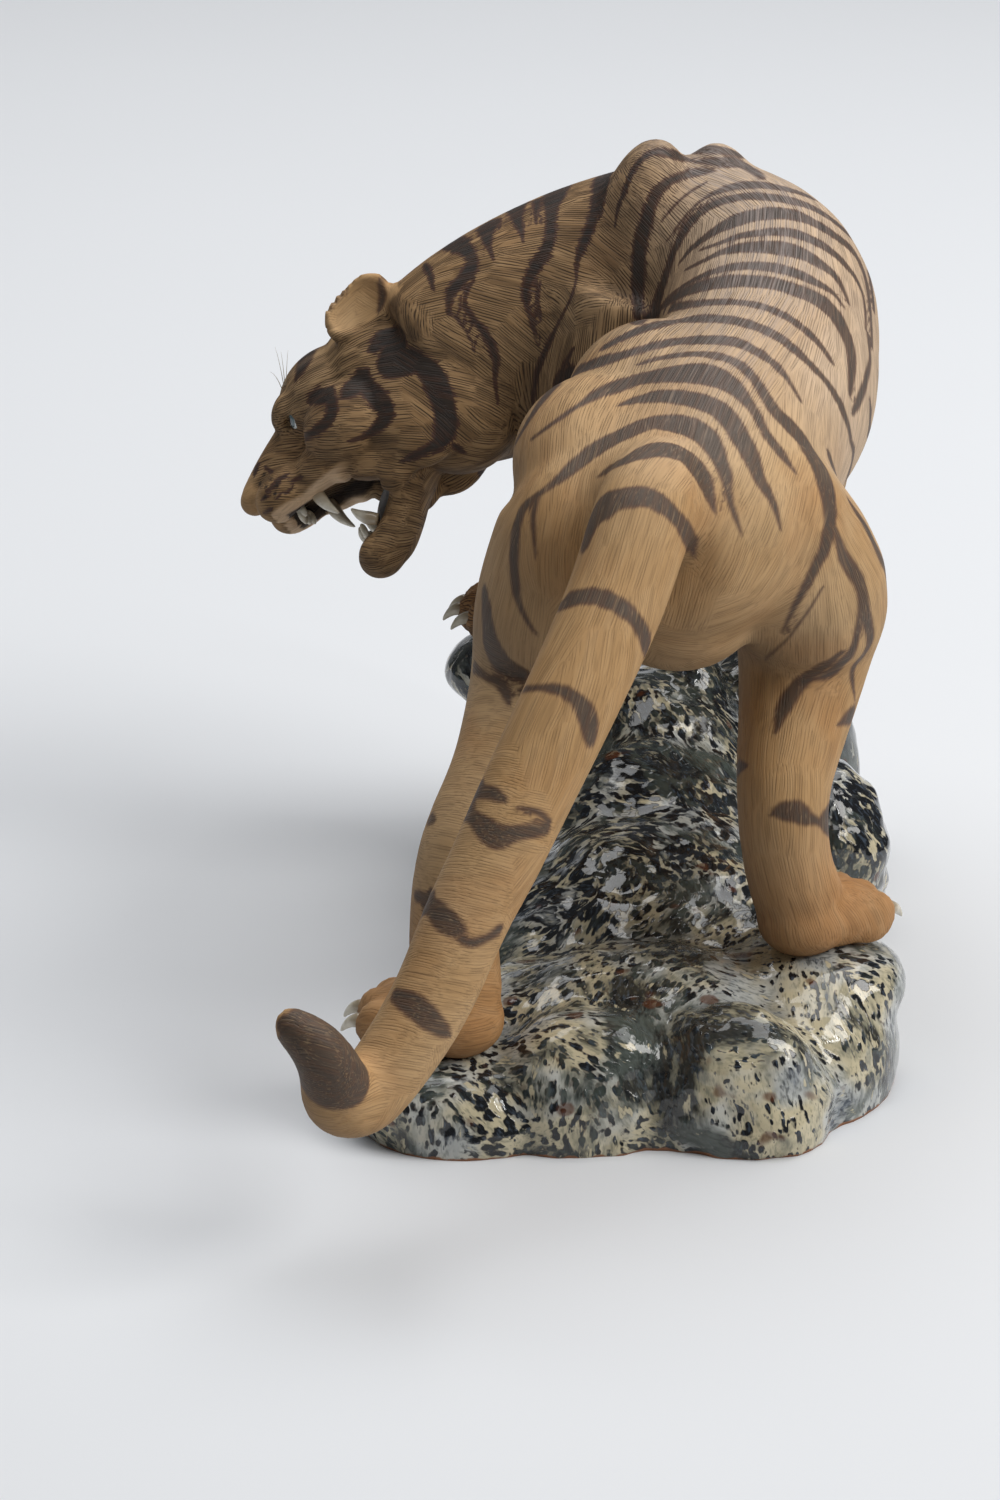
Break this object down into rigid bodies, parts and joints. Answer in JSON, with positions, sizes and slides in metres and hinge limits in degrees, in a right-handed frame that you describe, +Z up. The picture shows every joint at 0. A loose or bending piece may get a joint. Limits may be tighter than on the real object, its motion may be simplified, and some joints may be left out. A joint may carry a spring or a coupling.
{
  "type": "tiger figurine",
  "caption": "Ceramic tiger climbing over a glazed rock, trunk curving right, head turned left with its jaws open, tail down behind and curled at the tip.",
  "frame": {"origin": "middle of the rock's flat underside", "axes": "+Z up, +Y the way the tiger climbs, away from its tail"},
  "size_m": [0.2142, 0.3742, 0.2464],
  "materials": {
    "fired_clay": "unglazed tan clay, combed fur, painted dark brown stripes",
    "rock_glaze": "glossy mottled glaze in black, cream and blue-grey",
    "eye_glaze": "glossy white glaze with a dark pupil",
    "tongue_glaze": "soft grey glaze",
    "ivory_glaze": "glossy ivory white glaze"
  },
  "bodies": {
    "root": {"tiger": "fired_clay", "rock_base": "rock_glaze", "left_eye": "eye_glaze", "right_eye": "eye_glaze", "tongue": "tongue_glaze", "upper_left_canine": "ivory_glaze", "upper_right_canine": "ivory_glaze", "lower_left_canine": "ivory_glaze", "lower_right_canine": "ivory_glaze", "upper_incisors": "ivory_glaze", "lower_incisors": "ivory_glaze", "front_left_claw_1": "ivory_glaze", "front_left_claw_2": "ivory_glaze", "front_left_claw_3": "ivory_glaze", "front_left_claw_4": "ivory_glaze", "front_right_claw_1": "ivory_glaze", "front_right_claw_2": "ivory_glaze", "front_right_claw_3": "ivory_glaze", "front_right_claw_4": "ivory_glaze", "hind_left_claw_1": "ivory_glaze", "hind_left_claw_2": "ivory_glaze", "hind_left_claw_3": "ivory_glaze", "hind_left_claw_4": "ivory_glaze", "hind_right_claw_1": "ivory_glaze", "hind_right_claw_2": "ivory_glaze", "hind_right_claw_3": "ivory_glaze", "hind_right_claw_4": "ivory_glaze"}
  },
  "joints": []
}
